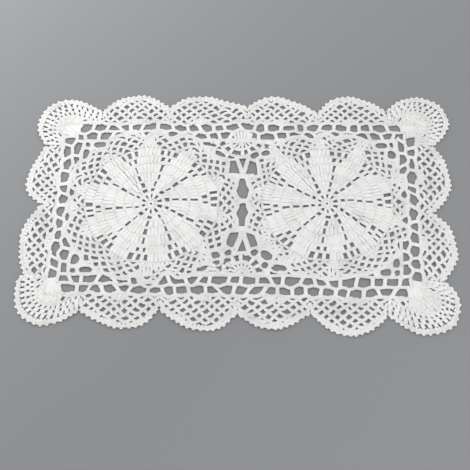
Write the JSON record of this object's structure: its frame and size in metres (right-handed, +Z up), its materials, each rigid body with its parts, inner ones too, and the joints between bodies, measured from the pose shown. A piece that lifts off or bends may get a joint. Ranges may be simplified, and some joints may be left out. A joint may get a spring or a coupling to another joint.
{
  "type": "rectangular crocheted lace doily",
  "caption": "Flat white crocheted cotton doily with two round petalled medallions, an open mesh frame and a scalloped edge.",
  "frame": {"origin": "middle of the outline's box, on the surface that the doily lies on", "axes": "+X along the doily's length, from one medallion to the other; +Y across it; +Z up, out of its top face"},
  "size_m": [0.4534, 0.2936, 0.0024],
  "materials": {
    "bleached_cotton": "matte crocheted thread, bleached white"
  },
  "bodies": {
    "root": {"lace_doily": "bleached_cotton"}
  },
  "joints": []
}
